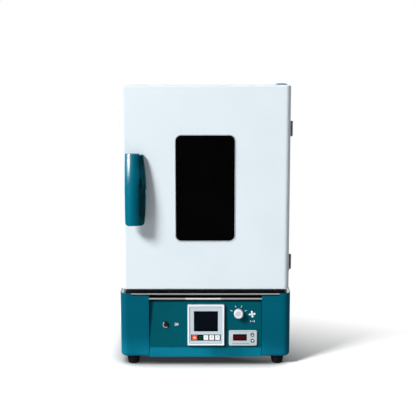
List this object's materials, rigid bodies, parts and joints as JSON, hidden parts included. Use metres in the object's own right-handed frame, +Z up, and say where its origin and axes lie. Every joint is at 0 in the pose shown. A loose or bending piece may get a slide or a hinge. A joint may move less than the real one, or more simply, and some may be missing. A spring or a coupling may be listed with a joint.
{
  "type": "drying oven",
  "caption": "Benchtop forced-air drying oven: white hinged door with a dark window and pull lever, teal base with a sloped control panel, rubber feet.",
  "frame": {"origin": "centre of the whole oven's footprint, on the floor plane under its feet", "axes": "+Z up; -Y towards the door and control panel; +X to the right as seen from the front, where the hinges are"},
  "size_m": [0.454, 0.5221, 0.74],
  "materials": {
    "teal_paint": "fine satin",
    "panel_paint": "fine satin",
    "white_paint": "powder coat, satin",
    "stainless": "brushed",
    "zinc_sheet": "plated sheet",
    "chrome": "polished",
    "steel": "machined",
    "hinge_steel": "satin",
    "aluminium": "pressed",
    "heater_sheath": "heat tinted",
    "shelf_wire": "plated wire",
    "black_paint": "satin",
    "rubber": "matte",
    "silicone": "matte",
    "pale_plastic": "satin",
    "white_plastic": "gloss",
    "black_plastic": "matte",
    "teal_plastic": "gloss",
    "grey_trim": "satin",
    "dark_display": "gloss",
    "strip_plastic": "gloss",
    "orange_key": "satin",
    "white_key": "satin",
    "dark_button": "satin",
    "lamp_lens": "gloss",
    "glass": "clear",
    "mineral_wool": "matte",
    "board": "satin"
  },
  "bodies": {
    "cabinet": {"base_shell": "teal_paint", "control_panel": "panel_paint", "deck_plate": "stainless", "base_bottom_plate": "zinc_sheet", "feet": "rubber", "panel_rail": "chrome", "controller_bezel": "pale_plastic", "controller_screen": "dark_display", "controller_key_strip": "strip_plastic", "instrument_cases": "black_plastic", "limiter_bezel": "pale_plastic", "limiter_display": "dark_display", "speed_control": "black_plastic", "lamp_bezel": "chrome", "lamp_lens": "lamp_lens", "cabinet_shell": "white_paint", "front_frame": "stainless", "chamber_liner": "stainless", "insulation": "mineral_wool", "back_panel": "zinc_sheet", "motor_cover": "white_paint", "air_baffle": "stainless", "rack_uprights": "stainless", "shelf_supports": "stainless", "temperature_probes": "steel", "fan_motor": "black_paint", "motor_bracket": "zinc_sheet", "heater_element": "heater_sheath", "vent_duct": "stainless", "vent_hood": "teal_plastic", "hinge_frame_leaves": "hinge_steel", "hinge_pins": "steel", "power_inlet": "black_plastic", "power_board": "board"},
    "door": {"door_skin": "white_paint", "door_inner_panel": "stainless", "door_insulation": "mineral_wool", "window_rim": "grey_trim", "window_panes": "glass", "window_tunnel": "stainless", "door_seal": "silicone", "door_catch": "steel", "hinge_door_leaves": "hinge_steel", "handle_base": "teal_plastic", "handle_pin": "steel"},
    "lever": {"handle_lever": "teal_plastic"},
    "fan": {"fan_shaft": "steel", "fan_impeller": "aluminium"},
    "knob": {"speed_knob": "white_plastic", "speed_spindle": "steel"},
    "damper": {"vent_damper": "stainless"},
    "rocker": {"switch_rocker": "black_plastic"},
    "power_key": {"key_power": "orange_key"},
    "shift_key": {"key_shift": "white_key"},
    "down_key": {"key_down": "white_key"},
    "up_key": {"key_up": "white_key"},
    "limit_up_button": {"limit_up": "dark_button"},
    "limit_down_button": {"limit_down": "dark_button"},
    "shelf_1": {"wire_shelf_1": "shelf_wire"},
    "shelf_2": {"wire_shelf_2": "shelf_wire"}
  },
  "joints": [
    {"name": "door_hinge", "type": "hinge", "parent": "cabinet", "child": "door", "pos_m": [0.225, -0.165, 0.27125], "axis": [0, 0, 1], "range_deg": [0, 180]},
    {"name": "handle_pull", "type": "hinge", "parent": "door", "child": "lever", "pos_m": [-0.1877, -0.2235, 0.548], "axis": [-1, 0, 0], "range_deg": [0, 8], "stiffness_Nm_per_rad": 3, "springref_deg": -8.59},
    {"name": "speed_knob_turn", "type": "hinge", "parent": "cabinet", "child": "knob", "pos_m": [0.088, -0.20966, 0.1395], "axis": [0, 0.9967, -0.0817], "range_deg": [0, 270]},
    {"name": "power_key_press", "type": "slide", "parent": "cabinet", "child": "power_key", "axis": [0, 0.9967, -0.0817], "range_m": [0, 0.0012], "stiffness_N_per_m": 300, "springref_m": -0.001},
    {"name": "shift_key_press", "type": "slide", "parent": "cabinet", "child": "shift_key", "axis": [0, 0.9967, -0.0817], "range_m": [0, 0.0012], "stiffness_N_per_m": 300, "springref_m": -0.001},
    {"name": "down_key_press", "type": "slide", "parent": "cabinet", "child": "down_key", "axis": [0, 0.9967, -0.0817], "range_m": [0, 0.0012], "stiffness_N_per_m": 300, "springref_m": -0.001},
    {"name": "up_key_press", "type": "slide", "parent": "cabinet", "child": "up_key", "axis": [0, 0.9967, -0.0817], "range_m": [0, 0.0012], "stiffness_N_per_m": 300, "springref_m": -0.001},
    {"name": "limit_up_press", "type": "slide", "parent": "cabinet", "child": "limit_up_button", "axis": [0, 0.9967, -0.0817], "range_m": [0, 0.0012], "stiffness_N_per_m": 300, "springref_m": -0.001},
    {"name": "limit_down_press", "type": "slide", "parent": "cabinet", "child": "limit_down_button", "axis": [0, 0.9967, -0.0817], "range_m": [0, 0.0012], "stiffness_N_per_m": 300, "springref_m": -0.001},
    {"name": "fan_spin", "type": "hinge", "parent": "cabinet", "child": "fan", "pos_m": [0, 0.135, 0.45875], "axis": [0, 1, 0], "continuous": true},
    {"name": "vent_damper_slide", "type": "slide", "parent": "cabinet", "child": "damper", "axis": [0, -1, 0], "range_m": [0, 0.026]},
    {"name": "mains_rocker", "type": "hinge", "parent": "cabinet", "child": "rocker", "pos_m": [-0.123, 0.231, 0.095], "axis": [-1, 0, 0], "range_deg": [0, 18]},
    {"name": "shelf_1_slide", "type": "slide", "parent": "cabinet", "child": "shelf_1", "axis": [0, -1, 0], "range_m": [0, 0.012]},
    {"name": "shelf_2_slide", "type": "slide", "parent": "cabinet", "child": "shelf_2", "axis": [0, -1, 0], "range_m": [0, 0.012]}
  ]
}
